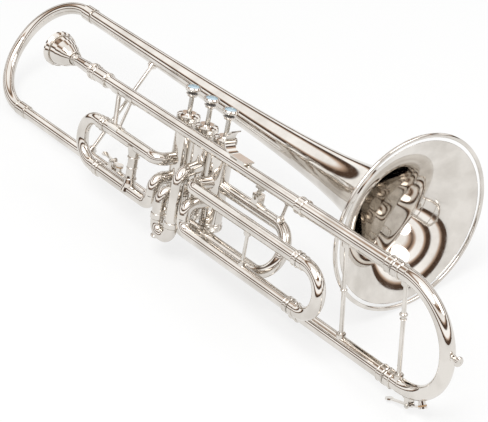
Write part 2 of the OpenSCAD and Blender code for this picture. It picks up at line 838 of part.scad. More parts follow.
// A bent strip on the leadpipe for the little finger
hook_x = 281;
hook_r = 11.5;
hook_thick = 1.3;
hook_low = tube_od / 2 + 0.9;
function hook_arc(r, from, to) = let (steps = 20)
    [for (k = [0:steps]) let (a = from + (to - from) * k / steps)
        [hook_x + r * cos(a), hook_low + hook_thick / 2 + hook_r + r * sin(a)]];

module finger_hook() {
    width = 12;
    foot_x = 305;
    color("silver") difference() {
        union() {
            translate([0, width / 2, 0]) rotate([90, 0, 0]) linear_extrude(width) polygon(concat(
                [[foot_x, hook_low], [foot_x, hook_low + hook_thick]],
                hook_arc(hook_r - hook_thick / 2, 270, 110),
                hook_arc(hook_r + hook_thick / 2, 110, 270)
            ));
            translate([foot_x - 14, -5, 0]) cube([12, 10, hook_low + 0.2]);
        }
        clear_x(foot_x - 40, foot_x + 10, [0, 0], tube_od);
    }
}

// Block with a cross bore for a music holder's shank, and its clamping screw's thread
module lyre_socket() {
    color("silver") translate([lyre_x, loop_high_at[0], loop_high_at[1]]) difference() {
        union() {
            translate([-4.5, -4.5, 0]) cube([9, 9, lyre_top]);
            intersection() {
                rotate([0, 90, 0]) cylinder(d = tube_od + 2.4, h = 14, center = true);
                translate([-7, -5.5, 0]) cube([14, 11, 12]);
            }
        }
        rotate([0, 90, 0]) cylinder(d = tube_od + 2 * solder, h = 30, center = true);
        translate([0, 0, lyre_bore_z]) rotate([90, 0, 0]) cylinder(d = lyre_bore, h = 30, center = true);
        translate([0, 0, lyre_bore_z]) cylinder(d = lyre_screw_d + 2 * key_fit, h = 20);
    }
}

// The thumbscrew that clamps a music holder
module lyre_screw() {
    tip_z = lyre_bore_z + lyre_bore / 2;
    neck_z = lyre_top + 2.5;
    color("lightgray") translate([lyre_x, loop_high_at[0], loop_high_at[1]]) {
        translate([0, 0, tip_z]) cylinder(d = lyre_screw_d, h = neck_z + 2 - tip_z);
        translate([0, 0, lyre_top + 0.3]) cylinder(d = 5.4, h = 2.2);
        translate([0, 0, neck_z + 3]) rotate([0, 90, 0]) cylinder(d = 3, h = 11, center = true);
        translate([0, 0, neck_z]) cylinder(d = 3.6, h = 3);
    }
}

// Cup, throat and shank in one turning
module mouthpiece() {
    rim_r = mouth_rim_d / 2;
    shank_r = receiver_bore / 2 - slide_fit;
    cup_end = 37;
    length = receiver_x + 20 - mouth_rim_x;
    inner_rim = rim_r - 6.8;
    color("silver") translate([mouth_rim_x, 0, 0]) rotate([0, 90, 0]) difference() {
        rotate_extrude($fn = 64) polygon([
            [0, 2], [inner_rim, 2], [inner_rim + 1.2, 0.6], [inner_rim + 2.8, 0], [rim_r - 1.8, 0.5],
            [rim_r, 2.4], [rim_r - 0.1, 4.6], [rim_r - 1.6, 6.6], [rim_r - 2.8, 9],
            [rim_r - 4.2, 17], [rim_r - 6.6, 25], [rim_r - 10, 31.5], [shank_r + 1.6, cup_end - 2],
            [shank_r + 0.4, cup_end + 1], [shank_r + 0.2, cup_end + 8], [shank_r + 1.1, cup_end + 24],
            [shank_r + 1.2, cup_end + 31], [shank_r, cup_end + 34],
            [shank_r, length], [0, length]
        ]);
        rotate_extrude($fn = 64) polygon([
            [0, -1], [inner_rim, -1], [inner_rim, 2], [inner_rim - 0.3, 8], [inner_rim - 1.8, 14],
            [inner_rim - 4.6, 19], [inner_rim - 8, 22.5], [3.3, 24], [3.3, 34],
            [shank_r - 1, length + 1], [0, length + 1]
        ]);
    }
}

// ---- water keys ----

// Frames of the keys: the tube's axis is the local X axis and +Z points away from the tube
module front_key_at(angle) {
    translate([crook_front_x - crook_r, return_in, -return_drop / 2])
        rotate([0, -angle, 0]) translate([0, 0, -return_drop / 2]) rotate([180, 0, 0]) children();
}

module neck_key_place() { translate([neck_key_x + neck_nipple_dx, neck_at[0], neck_at[1]]) children(); }

// The hole that a water key closes, through the wall of a tube of radius r
module drain_hole(r) {
    translate([0, 0, r - 3]) cylinder(d = drain_d, h = 6);
}

module key_nipple(r) {
    difference() {
        cylinder(d = nipple_d, h = r + nipple_h);
        cylinder(d = drain_d, h = r + nipple_h + 1);
    }
}

// What the tube of radius r takes out of a piece that sits on it
module key_tube(r) {
    rotate([0, 90, 0]) cylinder(d = 2 * r + 2 * solder, h = 30, center = true);
}

// Two lugs on a curved foot, with the key's pin
module key_lugs(r) {
    lug_y = key_w / 2 + key_side;
    half = lug_y + key_lug;
    for (s = [0, 1]) mirror([0, s, 0]) {
        translate([-3, lug_y, 0]) cube([6, key_lug, r + key_pivot_h]);
        translate([0, lug_y, r + key_pivot_h]) rotate([-90, 0, 0]) cylinder(d = 6, h = key_lug);
    }
    intersection() {
        rotate([0, 90, 0]) cylinder(d = 2 * r + 2.4, h = 9, center = true);
        translate([-5, -half - 0.3, 0]) cube([10, 2 * half + 0.6, r + 2]);
    }
    translate([0, 0, r + key_pivot_h]) rotate([90, 0, 0])
        cylinder(d = key_pin_d, h = 2 * half + 1.2, center = true);
}

// A flat arm in the XZ plane between two points given as [x, z]
module key_arm(a, b, width) {
    d = b - a;
    translate([a[0], 0, a[1]]) rotate([0, -atan2(d[1], d[0]), 0])
        translate([0, -width / 2, -key_thick / 2]) cube([norm(d), width, key_thick]);
}

// Lever, its sleeve on the pin, the finger plate and the pad's cup; pad_tilt turns the pad
module key_lever(r, finger, pad, pad_tilt) {
    pivot = [0, r + key_pivot_h];
    difference() {
        union() {
            translate([0, 0, pivot[1]]) rotate([90, 0, 0]) cylinder(d = 4.6, h = key_w, center = true);
            key_arm(pivot, finger, key_w - 1);
            key_arm(pivot, pad, key_w - 1);
            translate([finger[0], 0, finger[1]])
                rotate([0, -atan2(finger[1] - pivot[1], finger[0] - pivot[0]), 0])
                    cylinder(d = 8, h = key_thick + 0.3, center = true);
            translate([pad[0], 0, pad[1]]) rotate([0, pad_tilt, 0]) {
                translate([0, 0, -key_thick / 2]) cylinder(d = nipple_d + 1.4, h = key_thick + 0.3);
                translate([0, 0, -key_thick / 2 - pad_h]) cylinder(d = nipple_d + 0.8, h = pad_h + 0.1);
            }
        }
        translate([0, 0, pivot[1]]) rotate([90, 0, 0])
            cylinder(d = key_pin_d + 2 * key_fit, h = key_w + 2, center = true);
    }
}

module front_key_saddle() {
    color("silver") {
        difference() {
            front_key_at(front_key_angle) key_lugs(crook_od / 2);
            path(crook_path, crook_r - bend_ease, crook_od + 2 * solder, bead, $fn = 240);
        }
        difference() {
            front_key_at(front_nipple_angle) key_nipple(crook_od / 2);
            path(crook_path, crook_r - bend_ease, crook_od + 2 * solder, bead, $fn = 240);
        }
    }
}

module front_key_lever() {
    turn = front_nipple_angle - front_key_angle;
    bend_r = return_drop / 2;
    pad_r = bend_r + crook_od / 2 + nipple_h + pad_gap + pad_h + key_thick / 2;
    pad = [pad_r * sin(turn), pad_r * cos(turn) - bend_r];
    color("silver") front_key_at(front_key_angle)
        key_lever(crook_od / 2, [-27, crook_od / 2 + key_pivot_h + 0.5], pad, turn);
}

module neck_key_saddle() {
    color("silver") {
        translate([neck_key_x, neck_at[0], neck_at[1]]) difference() {
            key_lugs(neck_pipe_od / 2);
            key_tube(neck_pipe_od / 2);
        }
        neck_key_place() difference() {
            key_nipple(neck_pipe_od / 2);
            key_tube(neck_pipe_od / 2);
        }
    }
}

module neck_key_lever() {
    r = neck_pipe_od / 2;
    pad = [neck_nipple_dx, r + nipple_h + pad_gap + pad_h + key_thick / 2];
    color("silver") translate([neck_key_x, neck_at[0], neck_at[1]])
        key_lever(r, [-16, r + key_pivot_h + 1.5], pad, 0);
}

lying() bell();
lying() rim_wire();
lying() bow_ferrules();
lying() back_bow();
lying() neck_pipe();
lying() bell_brace();
lying() leadpipe();
lying() receiver();
lying() upper_main_sleeve();
lying() lower_main_sleeve();
lying() return_pipe();
lying() inner_loop();
lying() fixed_stays();
lying() casing_links();
lying() hand_grip();
lying() slide_1_stays();
lying() finger_hook();
lying() lyre_socket();
lying() lyre_screw();
lying() mouthpiece();
lying() casing_1();
lying() casing_2();
lying() casing_3();
lying() top_cap_1();
lying() top_cap_2();
lying() top_cap_3();
lying() bottom_cap_1();
lying() bottom_cap_2();
lying() bottom_cap_3();
lying() piston_1();
lying() piston_2();
lying() piston_3();
lying() button_1();
lying() button_2();
lying() button_3();
lying() inlay_1();
lying() inlay_2();
lying() inlay_3();
lying() felt_1();
lying() felt_2();
lying() felt_3();
lying() spring_1();
lying() spring_2();
lying() spring_3();
lying() slide_1_pipes();
lying() slide_1_legs();
lying() slide_1_bow();
lying() slide_2_pipes();
lying() slide_2_legs();
lying() slide_2_bow();
lying() slide_3_pipes();
lying() slide_3_legs();
lying() slide_3_bow();
lying() tuning_legs();
lying() tuning_crook();
lying() tuning_brace();
lying() front_key_saddle();
lying() front_key_lever();
lying() neck_key_saddle();
lying() neck_key_lever();
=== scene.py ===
"""Looks of the valve trombone: silver plate, turned and knurled details, camera and light."""

import json
import math

import bmesh
import bpy
from mathutils import Matrix, Vector


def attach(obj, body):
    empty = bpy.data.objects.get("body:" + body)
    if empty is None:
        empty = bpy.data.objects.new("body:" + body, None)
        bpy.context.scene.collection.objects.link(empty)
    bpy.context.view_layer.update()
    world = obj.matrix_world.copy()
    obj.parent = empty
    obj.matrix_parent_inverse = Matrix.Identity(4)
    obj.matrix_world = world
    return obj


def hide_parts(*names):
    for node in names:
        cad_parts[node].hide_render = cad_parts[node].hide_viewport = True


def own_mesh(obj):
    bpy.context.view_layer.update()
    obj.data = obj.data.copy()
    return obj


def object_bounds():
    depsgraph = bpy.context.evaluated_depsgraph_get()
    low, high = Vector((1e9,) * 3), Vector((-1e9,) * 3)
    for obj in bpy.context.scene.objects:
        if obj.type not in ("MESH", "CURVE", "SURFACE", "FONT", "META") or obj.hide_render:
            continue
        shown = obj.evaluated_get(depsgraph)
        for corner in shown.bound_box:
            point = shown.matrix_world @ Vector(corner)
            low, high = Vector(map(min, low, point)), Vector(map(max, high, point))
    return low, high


MM = 0.001
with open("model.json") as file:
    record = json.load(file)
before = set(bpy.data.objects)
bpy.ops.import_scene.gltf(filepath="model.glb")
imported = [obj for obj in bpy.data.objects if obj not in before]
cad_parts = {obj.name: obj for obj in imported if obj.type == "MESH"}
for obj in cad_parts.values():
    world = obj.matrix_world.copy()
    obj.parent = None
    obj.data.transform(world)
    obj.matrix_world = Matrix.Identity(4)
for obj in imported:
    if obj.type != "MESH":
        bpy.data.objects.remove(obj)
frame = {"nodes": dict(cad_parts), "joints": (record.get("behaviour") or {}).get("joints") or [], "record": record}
cad_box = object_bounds()
scene = bpy.context.scene
joints = {j["name"]: j for j in frame["joints"]}

# The instrument's own directions, read from its joints
UP = -Vector(joints["valve_1_press"]["axis"]).normalized()
FWD = Vector(joints["tuning_slide_pull"]["axis"]).normalized()
SIDE = UP.cross(FWD).normalized()

# Places in mm in the instrument's frame: the leadpipe's axis is y = z = 0
RECEIVER_X = 26.0
RETURN_Y, RETURN_Z = 20.5, -115.5
NECK_Y, NECK_Z = 28.5, -112.5
NECK_FERRULE_XS = (-147.4, -130.0)
NECK_PAD_X, NECK_PAD_Z = 61.0, -101.68
FIXED_STAY_X = 458.5
SECOND_KNOB_ROOT = (198.3, -16.4, -107.6)
TUNING_KNOB_ROOT = (610.45, 9.25, -51.75)
CROOK_X, CROOK_MID_Z = 545.348, -57.75
LEG_R = 6.2  # the outer radius of the slides' inner legs

# Turned beads in mm, as (radius, height, start, length) along the axis that they stand on
TOP_CAP_BEADS = [(7.2, 0.7, 6.6, 1.1)]
BOTTOM_CAP_BEADS = [(5.4, 0.9, -0.2, 1.2)]
BUTTON_RIM_BEADS = [(6.9, 0.9, -0.75, 0.8)]
SLIDE_MOUTH_BEADS = [(7.75, 0.55, 0.3, 1.4), (7.75, 0.55, 5.3, 1.4)]
CROOK_RING_BEADS = [(8.4, 0.55, 0.4, 1.5), (8.4, 0.55, 7.0, 1.5)]
RECEIVER_TUBE_BEADS = [(7.75, 0.7, 9.0, 1.6), (7.75, 0.9, 28.6, 2.4)]
MOUTHPIECE_BEADS = [(18.0, 0.45, 8.2, 1.3), (7.6, 0.9, 34.4, 1.8), (5.6, 0.8, 40.2, 1.5)]
TUNING_STAY_BEADS = [(2.2, 1.9, 40.0, 4.6), (2.2, 1.2, 46.2, 1.6)]
FIXED_STAY_BEADS = [(2.2, 1.3, 57.0, 3.4)]
KNOB_BEADS = [(4.5, 0.45, 7.1, 0.9), (2.3, 0.6, 2.6, 1.2)]
NECK_FERRULE_BEADS = [(6.65, 1.2, 0.0, 1.4)]
HAND_GRIP_BEADS = [(5.4, 0.7, -0.9, 1.8), (6.15, 0.7, 11.2, 1.4), (6.15, 0.7, -12.6, 1.4)]

# Beads on rings whose radius is measured, as (height, start, length)
SLEEVE_MOUTH_BEADS = [(0.6, 0.4, 1.5), (0.6, 9.0, 1.5)]
SLEEVE_END_BEADS = [(0.6, -8.8, 1.5), (0.6, -1.9, 1.5)]
RECEIVER_MOUTH_BEADS = [(0.6, 0.3, 1.2), (0.6, 2.4, 1.2)]
CASING_BEAD_HEIGHT, CASING_BEAD_LENGTH = 0.75, 1.6
CASING_BEAD_FROM_FOOT, CASING_BEAD_FROM_TOP = 0.6, 2.2
RING_SEATING, CASING_SEATING = 0.1, 0.05  # such a bead starts this far under its ring


def place(x, y, z):
    """A point given in mm in the instrument's frame, in the row's frame."""
    return ((x - RECEIVER_X) * FWD + y * SIDE + z * UP) * MM


def turn(v):
    """A direction given in the instrument's frame, in the row's frame."""
    return (v[0] * FWD + v[1] * SIDE + v[2] * UP).normalized()


def span(node):
    """Lowest and highest mm of a node along the instrument's directions."""
    points = [v.co for v in frame["nodes"][node].data.vertices]
    rows = []
    for axis, shift in ((FWD, RECEIVER_X), (SIDE, 0.0), (UP, 0.0)):
        values = [p.dot(axis) / MM + shift for p in points]
        rows.append((min(values), max(values)))
    return [r[0] for r in rows], [r[1] for r in rows]


def middle(node):
    """The middle of a node's span, in mm."""
    lo, hi = span(node)
    return [(a + b) / 2 for a, b in zip(lo, hi)]


# ---- materials ----

# Scales of the metals' patches, haze and polishing marks, and the marks' depth in metres
PATCH_SCALE, HAZE_SCALE, MARK_SCALE = 34.0, 120.0, 900.0
MARK_DEPTH = 0.00006
# Noise values between which patches, haze and grain go from one end to the other
PATCH_RANGE, HAZE_RANGE, GRAIN_RANGE = (0.34, 0.62), (0.38, 0.72), (0.35, 0.7)
PEARL_SCALE, PEARL_SWIRL, PEARL_DEPTH = 260.0, 1.8, 0.0002
PEARL_STOPS = [(0.3, (0.2, 0.38, 0.5)), (0.5, (0.36, 0.56, 0.68)), (0.72, (0.62, 0.74, 0.8))]


def nodes_of(name):
    material = bpy.data.materials.new(name)
    material.use_nodes = True
    tree = material.node_tree
    return material, tree, tree.nodes["Principled BSDF"]


def add(tree, kind, **inputs):
    node = tree.nodes.new(kind)
    for key, value in inputs.items():
        node.inputs[key].default_value = value
    return node


def object_noise(tree, scale, detail):
    coords = tree.nodes.new("ShaderNodeTexCoord")
    noise = add(tree, "ShaderNodeTexNoise", Scale=scale, Detail=detail)
    tree.links.new(coords.outputs["Object"], noise.inputs["Vector"])
    return noise


def ramp(tree, source, stops):
    """A colour ramp with a stop for each (position, colour)."""
    stops = list(stops)
    node = tree.nodes.new("ShaderNodeValToRGB")
    elements = node.color_ramp.elements
    while len(elements) < len(stops):
        elements.new(0.5)
    for element, (at, colour) in zip(elements, stops):
        element.position = at
        element.color = (*colour, 1.0)
    tree.links.new(source, node.inputs["Fac"])
    return node


def bump(tree, shader, source, strength, distance):
    node = add(tree, "ShaderNodeBump", Strength=strength, Distance=distance)
    tree.links.new(source, node.inputs["Height"])
    tree.links.new(node.outputs["Normal"], shader.inputs["Normal"])


def metal(name, light, dark, rough_low, rough_high, scratch):
    """Plated metal with handling haze, faint tarnish and fine polishing marks."""
    material, tree, shader = nodes_of(name)
    shader.inputs["Metallic"].default_value = 1.0
    patches = object_noise(tree, PATCH_SCALE, detail=4.0)
    tint = ramp(tree, patches.outputs["Fac"], zip(PATCH_RANGE, (dark, light)))
    tree.links.new(tint.outputs["Color"], shader.inputs["Base Color"])
    haze = object_noise(tree, HAZE_SCALE, detail=5.0)
    greys = (rough_low,) * 3, (rough_high,) * 3
    rough = ramp(tree, haze.outputs["Fac"], zip(HAZE_RANGE, greys))
    tree.links.new(rough.outputs["Color"], shader.inputs["Roughness"])
    marks = object_noise(tree, MARK_SCALE, detail=2.0)
    bump(tree, shader, marks.outputs["Fac"], scratch, MARK_DEPTH)
    return material


def make_pearl():
    """Pale blue shell with cloudy patches under a clear coat."""
    material, tree, shader = nodes_of("pearl_pale_blue")
    cloud = object_noise(tree, PEARL_SCALE, detail=5.0)
    cloud.inputs["Distortion"].default_value = PEARL_SWIRL
    tint = ramp(tree, cloud.outputs["Fac"], PEARL_STOPS)
    tree.links.new(tint.outputs["Color"], shader.inputs["Base Color"])
    shader.inputs["Roughness"].default_value = 0.16
    shader.inputs["Coat Weight"].default_value = 0.8
    shader.inputs["Sheen Weight"].default_value = 0.2
    bump(tree, shader, cloud.outputs["Fac"], strength=0.08, distance=PEARL_DEPTH)
    return material


def make_matt(name, dark, light, scale, depth, sheen):
    """Felt or cork, with its grain in colour and relief."""
    material, tree, shader = nodes_of(name)
    grain = object_noise(tree, scale, detail=6.0)
    tint = ramp(tree, grain.outputs["Fac"], zip(GRAIN_RANGE, (dark, light)))
    tree.links.new(tint.outputs["Color"], shader.inputs["Base Color"])
    shader.inputs["Roughness"].default_value = 0.92
    shader.inputs["Sheen Weight"].default_value = sheen
    bump(tree, shader, grain.outputs["Fac"], strength=0.6, distance=depth)
    return material


SILVER = metal(
    "silver_plate_polished", light=(0.76, 0.725, 0.68), dark=(0.62, 0.585, 0.54),
    rough_low=0.04, rough_high=0.11, scratch=0.04,
)
SATIN = metal(
    "nickel_silver_satin", light=(0.68, 0.66, 0.62), dark=(0.56, 0.535, 0.49),
    rough_low=0.14, rough_high=0.24, scratch=0.1,
)
KNURL = metal(
    "silver_knurl", light=(0.66, 0.64, 0.6), dark=(0.4, 0.37, 0.33),
    rough_low=0.16, rough_high=0.28, scratch=0.1,
)
STEEL = metal(
    "spring_steel_wire", light=(0.6, 0.61, 0.63), dark=(0.46, 0.46, 0.47),
    rough_low=0.2, rough_high=0.34, scratch=0.15,
)
PEARL = make_pearl()
FELT = make_matt(
    "pressed_felt", dark=(0.16, 0.15, 0.145), light=(0.3, 0.285, 0.27),
    scale=1600.0, depth=0.0003, sheen=0.5,
)
CORK = make_matt(
    "cork_pad", dark=(0.3, 0.17, 0.08), light=(0.62, 0.43, 0.25),
    scale=1100.0, depth=0.0002, sheen=0.1,
)


def finish_of(name):
    """The material of a CAD node, by its name."""
    if name.startswith(("piston", "lyre_screw")) or name.endswith("_legs"):
        return SATIN
    for start, material in (("felt", FELT), ("spring", STEEL), ("inlay", PEARL)):
        if name.startswith(start):
            return material
    return SILVER


for name, node in frame["nodes"].items():
    if node.data.materials:
        for slot in node.material_slots:
            slot.material = finish_of(name)
    else:
        node.data.materials.append(finish_of(name))


# ---- mesh helpers, with sizes in mm ----

BEAD_ROWS = 9
BEAD_EDGE = 0.2  # a bead's edges stand this far out of its surface
BEAD_SINK = 0.25  # and its base lies this far under it
KNURL_TEETH, KNURL_ROWS = 54, 7
KNURL_DEPTH, KNURL_SINK, KNURL_LIFT = 0.42, 0.3, 0.06
NEARLY_UPRIGHT = 0.9  # the cosine past which UP is too near an axis to be crossed with it


def finish_piece(name, bm, material, body):
    bmesh.ops.recalc_face_normals(bm, faces=bm.faces)
    for face in bm.faces:
        face.smooth = True
    mesh = bpy.data.meshes.new(name)
    bm.to_mesh(mesh)
    bm.free()
    mesh.materials.append(material)
    piece = bpy.data.objects.new(name, mesh)
    scene.collection.objects.link(piece)
    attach(piece, body)
    return piece


def frame_on(axis):
    """Two directions square to an axis and to each other."""
    across = axis.cross(UP if abs(axis.dot(UP)) < NEARLY_UPRIGHT else FWD).normalized()
    return across, axis.cross(across).normalized()


def skin_rings(bm, rings, closed):
    """Joins rings that have the same number of points; closed joins the last to the first."""
    count, steps = len(rings), len(rings[0])
    for i in range(count if closed else count - 1):
        a, b = rings[i], rings[(i + 1) % count]
        for k in range(steps):
            bm.faces.new((a[k], a[(k + 1) % steps], b[(k + 1) % steps], b[k]))
    if not closed:
        bm.faces.new(rings[0])
        bm.faces.new(list(reversed(rings[-1])))


def lathe_into(bm, centre, axis, profile, steps=64, closed=True, wave=None):
    """Turns a profile of (distance along axis, radius) into the mesh."""
    u, v = frame_on(axis)
    rings = []
    for row, (along, radius) in enumerate(profile):
        ring = []
        for k in range(steps):
            a = 2 * math.pi * k / steps
            r = radius + (wave(row, k) if wave else 0.0)
            offset = axis * along + (u * math.cos(a) + v * math.sin(a)) * r
            ring.append(bm.verts.new(centre + offset * MM))
        rings.append(ring)
    skin_rings(bm, rings, closed)


def lathe(name, body, material, centre, axis, profile, steps=64, closed=True, wave=None):
    """One turned piece."""
    bm = bmesh.new()
    lathe_into(bm, centre, axis, profile, steps, closed, wave)
    return finish_piece(name, bm, material, body)


def bead_profile(inner, outer, start, length):
    """A half-round bead from start, standing from inner to outer radius."""
    foot = inner + BEAD_EDGE
    arc = []
    for i in range(BEAD_ROWS):
        t = i / (BEAD_ROWS - 1)
        arc.append((start + length * t, foot + (outer - foot) * math.sin(math.pi * t)))
    return [(start, inner - BEAD_SINK)] + arc + [(start + length, inner - BEAD_SINK)]


def placed(centre, axis, table):
    """Rows for beads(): a table's beads, each with its radius, on one axis."""
    return [(centre, axis, *bead) for bead in table]


def fitted(radius, table, seating=RING_SEATING):
    """A table's beads with the measured radius of their ring."""
    return [(radius - seating, *bead) for bead in table]


def beads(name, body, rows):
    """Several beads in one piece: each row is centre, axis, radius, height, start, length."""
    bm = bmesh.new()
    for centre, axis, radius, height, start, length in rows:
        lathe_into(bm, centre, axis, bead_profile(radius, radius + height, start, length))
    finish_piece(name, bm, SILVER, body)


def knurl(name, body, centre, axis, radius, start, length):
    """A diamond-knurled band that stands on a turned surface."""
    end = start + length
    profile = [(start, radius - KNURL_SINK), (start, radius)]
    for i in range(KNURL_ROWS):
        profile.append((start + length * (i + 0.5) / KNURL_ROWS, radius + KNURL_LIFT))
    profile += [(end, radius), (end, radius - KNURL_SINK)]

    def wave(row, k):
        """Every second point of the band's own rows stands out, in turn from row to row."""
        on_band = 2 <= row < KNURL_ROWS + 2
        return KNURL_DEPTH if on_band and (k + row) % 2 == 0 else 0.0

    piece = lathe(
        name, body, KNURL, centre, axis, profile, KNURL_TEETH * 2, True, wave
    )
    for face in piece.data.polygons:
        face.use_smooth = False


# ---- bell ----

BELL_R, BELL_WALL, BELL_LENGTH = 95.0, 0.6, 575.0
BELL_DIP = math.radians(1.2)
FLARE_START, FLARE_POWER = 17.2, 0.7
ROLL_R = 2.2
SKIN_START = 2.2  # the bell's skin begins this far behind the rim, inside its roll
SKIN_STEPS, SKIN_CROWDING = 110, 2.2
BELL_SEGMENTS, ROLL_SEGMENTS = 160, 20


def horn(x):
    """The bell's outer radius at x mm behind its rim."""
    return BELL_R * (FLARE_START / (x + FLARE_START)) ** FLARE_POWER


def make_bell():
    """The bell, spun smooth over the solid's own curve, with its rolled rim."""
    axis = turn((math.cos(BELL_DIP), 0.0, -math.sin(BELL_DIP)))
    mount = next(m for m in frame["record"]["mounts"] if m["name"] == "bell_mouth")
    rim = Vector(mount["pos_m"])
    rows = []
    for k in range(SKIN_STEPS + 1):
        x = SKIN_START + (BELL_LENGTH - SKIN_START) * (k / SKIN_STEPS) ** SKIN_CROWDING
        rows.append((x, horn(x)))
    outer = [(-x, r) for x, r in reversed(rows)]
    inner = [(-x, r - BELL_WALL) for x, r in rows]
    skin = lathe(
        "bell_spun", "trombone_body", SILVER, rim, axis, outer + inner,
        BELL_SEGMENTS,
    )

    roll = []
    for k in range(ROLL_SEGMENTS):
        a = 2 * math.pi * k / ROLL_SEGMENTS
        roll.append((ROLL_R * math.cos(a), BELL_R - ROLL_R + ROLL_R * math.sin(a)))
    front = max(v.co.dot(axis) for v in frame["nodes"]["bell"].data.vertices)
    centre = rim + axis * (front - rim.dot(axis) - ROLL_R * MM)
    lathe(
        "bell_rim_roll", "trombone_body", SILVER, centre, axis, roll,
        BELL_SEGMENTS,
    )
    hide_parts("bell")


make_bell()

# ---- valves ----

# The cup under a button's pearl as (height, radius), and the pearl's dome, in mm
CUP_BORE_R, CUP_TOP = 5.02, -0.1
CUP_PROFILE = [
    (-2.8, CUP_BORE_R), (-2.8, 5.3), (-1.9, 5.45), (-1.1, 5.9), (CUP_TOP, 6.8),
    (CUP_TOP, CUP_BORE_R),
]
DOME_EDGE, DOME_RISE, DOME_TOP_R, DOME_STEPS = 0.5, 0.75, 0.6, 6
CAP_KNURL_SEATING = 0.28
TOP_KNURL_START, TOP_KNURL_LENGTH = 0.9, 4.3
BOTTOM_KNURL_START, BOTTOM_KNURL_LENGTH = 3.4, 4.1
CAP_R = (span("top_cap_1")[1][0] - span("top_cap_1")[0][0]) / 2


def dome_profile(radius):
    """A low dome: a short straight edge, an arc, and a small flat at its crown."""
    profile = [(0.0, radius)]
    for t in range(DOME_STEPS):
        a = t * math.pi / (2 * DOME_STEPS)
        profile.append((DOME_EDGE + DOME_RISE * math.sin(a), radius * math.cos(a) ** 0.5))
    return profile + [(DOME_EDGE + DOME_RISE, DOME_TOP_R)]


def dress_caps(i, x, y):
    """Knurls and beads of one valve's top cap, bottom cap and casing."""
    body = "trombone_body"
    knurl_r = CAP_R - CAP_KNURL_SEATING
    top = place(x, y, span(f"top_cap_{i}")[0][2])
    knurl(f"top_cap_knurl_{i}", body, top, UP, knurl_r, TOP_KNURL_START, TOP_KNURL_LENGTH)
    beads(f"top_cap_bead_{i}", body, placed(top, UP, TOP_CAP_BEADS))
    base = place(x, y, span(f"bottom_cap_{i}")[0][2])
    knurl(
        f"bottom_cap_knurl_{i}", body, base, UP, knurl_r, BOTTOM_KNURL_START, BOTTOM_KNURL_LENGTH
    )
    beads(f"bottom_cap_bead_{i}", body, placed(base, UP, BOTTOM_CAP_BEADS))

    lo, hi = span(f"casing_{i}")
    starts = (CASING_BEAD_FROM_FOOT, hi[2] - lo[2] - CASING_BEAD_FROM_TOP)
    table = [(CASING_BEAD_HEIGHT, start, CASING_BEAD_LENGTH) for start in starts]
    table = fitted((hi[0] - lo[0]) / 2, table, CASING_SEATING)
    beads(f"casing_beads_{i}", body, placed(place(x, y, lo[2]), UP, table))


def dress_button(i, x, y):
    """One valve's button: its rim, the cup under it, and the pearl."""
    body = f"valve_{i}"
    lo, hi = span(f"button_{i}")
    beads(f"button_rim_{i}", body, placed(place(x, y, hi[2]), UP, BUTTON_RIM_BEADS))
    cup_at = place(x, y, lo[2])
    lathe(f"button_cup_{i}", body, SILVER, cup_at, UP, CUP_PROFILE)

    lo, hi = span(f"inlay_{i}")
    pearl = lathe(
        f"pearl_dome_{i}", body, PEARL, place(x, y, lo[2]), UP,
        dome_profile((hi[0] - lo[0]) / 2), closed=False,
    )
    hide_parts(f"inlay_{i}")


for number in (1, 2, 3):
    valve_x, valve_y = middle(f"top_cap_{number}")[:2]
    dress_caps(number, valve_x, valve_y)
    dress_button(number, valve_x, valve_y)

# ---- piston springs, as wound coils ----

WIRE_D, COIL_TURNS = 0.8, 8
COIL_STEPS, WIRE_STEPS = 28, 10
FLAT_TURNS = 0.8  # this much of the first and of the last turn lies flat
COIL_CLEARANCE, PRESSED_CLEARANCE = 0.05, 0.3


def spring_mesh(bm, seat, height, radius):
    u, v = frame_on(UP)
    total = COIL_TURNS * COIL_STEPS
    flat = COIL_STEPS * FLAT_TURNS
    rings = []
    for i in range(total + 1):
        a = 2 * math.pi * i / COIL_STEPS
        t = min(max((i - flat) / (total - flat * 2), 0.0), 1.0)
        rise = WIRE_D * 0.5 + (height - WIRE_D) * t
        out = u * math.cos(a) + v * math.sin(a)
        ring = []
        for k in range(WIRE_STEPS):
            b = 2 * math.pi * k / WIRE_STEPS
            across = out * (radius + WIRE_D / 2 * math.cos(b))
            offset = across + UP * (rise + WIRE_D / 2 * math.sin(b))
            ring.append(bm.verts.new(seat + offset * MM))
        rings.append(ring)
    skin_rings(bm, rings, False)


def make_spring(i):
    lo, hi = span(f"spring_{i}")
    seat = place((lo[0] + hi[0]) / 2, (lo[1] + hi[1]) / 2, lo[2])
    height = hi[2] - lo[2]
    bm = bmesh.new()
    spring_mesh(bm, seat, height - COIL_CLEARANCE, (hi[0] - lo[0]) / 2 - WIRE_D / 2)
    wound = finish_piece(f"piston_spring_{i}", bm, STEEL, "trombone_body")
    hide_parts(f"spring_{i}")
    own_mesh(wound)


for number in (1, 2, 3):
    make_spring(number)

# ---- beads on the slides, sleeves, receiver, mouthpiece, stays, knobs, ferrule and grip ----


def slide_mouth_beads(number, mouth_x, axis):
    """Beads on the rings at the mouths of the first or third slide's two sleeves."""
    lo, hi = span(f"slide_{number}_legs")
    y = (lo[1] + hi[1]) / 2
    rows = []
    for z in (hi[2] - LEG_R, lo[2] + LEG_R):
        rows += placed(place(mouth_x, y, z), axis, SLIDE_MOUTH_BEADS)
    beads(f"slide_{number}_mouth_beads", "trombone_body", rows)


slide_mouth_beads(1, span("slide_1_pipes")[0][0], FWD)
slide_mouth_beads(3, span("slide_3_pipes")[1][0], -FWD)

